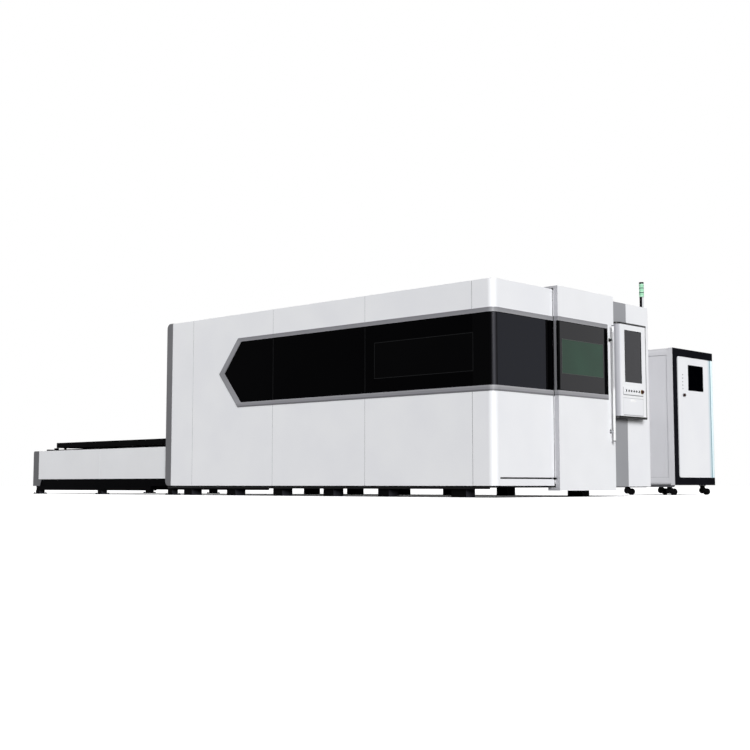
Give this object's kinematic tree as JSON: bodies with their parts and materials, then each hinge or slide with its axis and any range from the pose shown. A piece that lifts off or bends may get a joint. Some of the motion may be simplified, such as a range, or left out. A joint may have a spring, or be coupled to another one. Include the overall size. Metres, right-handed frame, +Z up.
{
  "type": "sheet laser cutting machine",
  "caption": "Enclosed sheet laser cutter with window band, sliding end door, operator console, exchange table with two pallets and a separate laser source cabinet.",
  "frame": {"origin": "centre of the footprint box, on the floor", "axes": "+X along the machine from the exchange table to the end wall with the door, +Y from the long side with the window band to the rear and the laser source cabinet, +Z up"},
  "size_m": [8.702, 5.086, 2.5075],
  "materials": {
    "white_panel": "satin powder coat",
    "grey_panel": "satin powder coat",
    "dark_trim": "satin powder coat",
    "band_frame": "satin powder coat",
    "black_frame": "satin powder coat",
    "dark_glass": "tinted, glossy",
    "grey_glass": "tinted, glossy",
    "laser_window": "green laser safety glass",
    "trim_grey": "satin powder coat",
    "bed_paint": "satin paint",
    "ground_steel": "ground",
    "aluminium_casting": "machined",
    "pallet_steel": "mill scale and paint",
    "cabinet_grey": "satin powder coat",
    "screen": "glossy display",
    "handle_white": "gloss powder coat",
    "button_plastic": "gloss",
    "stop_red": "gloss",
    "black_plastic": "matte",
    "lens_green": "gloss, translucent",
    "caster_rubber": "matte"
  },
  "bodies": {
    "machine": {"bed_frame": "bed_paint", "levelling_feet": "black_frame", "gantry_rails": "ground_steel", "pallet_rails": "bed_paint", "housing_frame": "black_frame", "portal_trim": "trim_grey", "portal_wall": "white_panel", "narrow_side_panel": "white_panel", "arrow_side_panel": "white_panel", "upper_side_panels": "white_panel", "lower_side_panels": "white_panel", "upper_corner_panel": "white_panel", "lower_corner_panel": "white_panel", "window_frame": "band_frame", "side_window_panes": "dark_glass", "corner_window_pane": "grey_glass", "rear_panels": "white_panel", "roof_panels": "white_panel", "door_tracks": "dark_trim", "grey_end_panel": "grey_panel", "white_end_panel": "white_panel", "console_housing": "white_panel", "console_screen": "screen", "signal_tower": "black_plastic", "signal_lenses": "lens_green", "table_frame": "black_frame", "table_side_panels": "white_panel", "table_end_cap": "trim_grey", "pallet_drive": "dark_trim", "cabinet_body": "cabinet_grey", "cabinet_front_frame": "black_frame", "cabinet_front_panel": "white_panel", "cabinet_display": "screen"},
    "end_door": {"end_door_leaf": "white_panel", "end_door_glass": "grey_glass", "end_door_window": "laser_window", "end_door_handle": "handle_white"},
    "gantry": {"gantry_beam": "aluminium_casting"},
    "carriage": {"cross_carriage": "aluminium_casting"},
    "head": {"cutting_head": "ground_steel"},
    "upper_pallet_body": {"upper_pallet": "pallet_steel"},
    "lower_pallet_body": {"lower_pallet": "pallet_steel"},
    "drive_shaft": {"pallet_drive_shaft": "ground_steel"},
    "flap": {"keyboard_flap": "white_panel"},
    "console_stop": {"console_stop_button": "stop_red"},
    "cabinet_stop": {"cabinet_stop_button": "stop_red"},
    "button_1": {"console_button_1": "button_plastic"},
    "button_2": {"console_button_2": "button_plastic"},
    "button_3": {"console_button_3": "button_plastic"},
    "button_4": {"console_button_4": "button_plastic"},
    "button_5": {"console_button_5": "button_plastic"},
    "button_6": {"console_button_6": "button_plastic"},
    "swivel_1": {"caster_fork_1": "black_plastic"},
    "wheel_1": {"caster_wheel_1": "caster_rubber"},
    "swivel_2": {"caster_fork_2": "black_plastic"},
    "wheel_2": {"caster_wheel_2": "caster_rubber"},
    "swivel_3": {"caster_fork_3": "black_plastic"},
    "wheel_3": {"caster_wheel_3": "caster_rubber"},
    "swivel_4": {"caster_fork_4": "black_plastic"},
    "wheel_4": {"caster_wheel_4": "caster_rubber"}
  },
  "joints": [
    {"name": "door_slide", "type": "slide", "parent": "machine", "child": "end_door", "axis": [0, -1, 0], "range_m": [0, 0.9]},
    {"name": "gantry_travel", "type": "slide", "parent": "machine", "child": "gantry", "axis": [-1, 0, 0], "range_m": [0, 3.55]},
    {"name": "carriage_travel", "type": "slide", "parent": "gantry", "child": "carriage", "axis": [0, 1, 0], "range_m": [0, 1.44]},
    {"name": "head_travel", "type": "slide", "parent": "carriage", "child": "head", "axis": [0, 0, -1], "range_m": [0, 0.275]},
    {"name": "upper_pallet_travel", "type": "slide", "parent": "machine", "child": "upper_pallet_body", "axis": [1, 0, 0], "range_m": [0, 3.606]},
    {"name": "lower_pallet_travel", "type": "slide", "parent": "machine", "child": "lower_pallet_body", "axis": [1, 0, 0], "range_m": [-3.606, 0]},
    {"name": "drive_shaft_spin", "type": "hinge", "parent": "machine", "child": "drive_shaft", "pos_m": [-4.274, -1.437, 0.3], "axis": [0, 1, 0], "continuous": true},
    {"name": "flap_hinge", "type": "hinge", "parent": "machine", "child": "flap", "pos_m": [4.329, -0.1065, 0.916], "axis": [0, 1, 0], "range_deg": [0, 88]},
    {"name": "button_1_press", "type": "slide", "parent": "machine", "child": "button_1", "axis": [-1, 0, 0], "range_m": [0, 0.004], "stiffness_N_per_m": 300},
    {"name": "button_2_press", "type": "slide", "parent": "machine", "child": "button_2", "axis": [-1, 0, 0], "range_m": [0, 0.004], "stiffness_N_per_m": 300},
    {"name": "button_3_press", "type": "slide", "parent": "machine", "child": "button_3", "axis": [-1, 0, 0], "range_m": [0, 0.004], "stiffness_N_per_m": 300},
    {"name": "button_4_press", "type": "slide", "parent": "machine", "child": "button_4", "axis": [-1, 0, 0], "range_m": [0, 0.004], "stiffness_N_per_m": 300},
    {"name": "button_5_press", "type": "slide", "parent": "machine", "child": "button_5", "axis": [-1, 0, 0], "range_m": [0, 0.004], "stiffness_N_per_m": 300},
    {"name": "button_6_press", "type": "slide", "parent": "machine", "child": "button_6", "axis": [-1, 0, 0], "range_m": [0, 0.004], "stiffness_N_per_m": 300},
    {"name": "console_stop_press", "type": "slide", "parent": "machine", "child": "console_stop", "axis": [-1, 0, 0], "range_m": [0, 0.004]},
    {"name": "cabinet_stop_press", "type": "slide", "parent": "machine", "child": "cabinet_stop", "axis": [-1, 0, 0], "range_m": [0, 0.004]},
    {"name": "caster_1_swivel", "type": "hinge", "parent": "machine", "child": "swivel_1", "pos_m": [3.786, 1.605, 0.122], "axis": [0, 0, 1], "continuous": true},
    {"name": "caster_1_roll", "type": "hinge", "parent": "swivel_1", "child": "wheel_1", "pos_m": [3.844, 1.605, 0.042], "axis": [0, 1, 0], "continuous": true},
    {"name": "caster_2_swivel", "type": "hinge", "parent": "machine", "child": "swivel_2", "pos_m": [3.786, 2.448, 0.122], "axis": [0, 0, 1], "continuous": true},
    {"name": "caster_2_roll", "type": "hinge", "parent": "swivel_2", "child": "wheel_2", "pos_m": [3.844, 2.448, 0.042], "axis": [0, 1, 0], "continuous": true},
    {"name": "caster_3_swivel", "type": "hinge", "parent": "machine", "child": "swivel_3", "pos_m": [3.178, 1.605, 0.122], "axis": [0, 0, 1], "continuous": true},
    {"name": "caster_3_roll", "type": "hinge", "parent": "swivel_3", "child": "wheel_3", "pos_m": [3.236, 1.605, 0.042], "axis": [0, 1, 0], "continuous": true},
    {"name": "caster_4_swivel", "type": "hinge", "parent": "machine", "child": "swivel_4", "pos_m": [3.178, 2.448, 0.122], "axis": [0, 0, 1], "continuous": true},
    {"name": "caster_4_roll", "type": "hinge", "parent": "swivel_4", "child": "wheel_4", "pos_m": [3.236, 2.448, 0.042], "axis": [0, 1, 0], "continuous": true}
  ],
  "couplings": [
    {"joint": "lower_pallet_travel", "follows": "upper_pallet_travel", "ratio": -1},
    {"joint": "drive_shaft_spin", "follows": "upper_pallet_travel", "rad_per_m": 17.544}
  ]
}
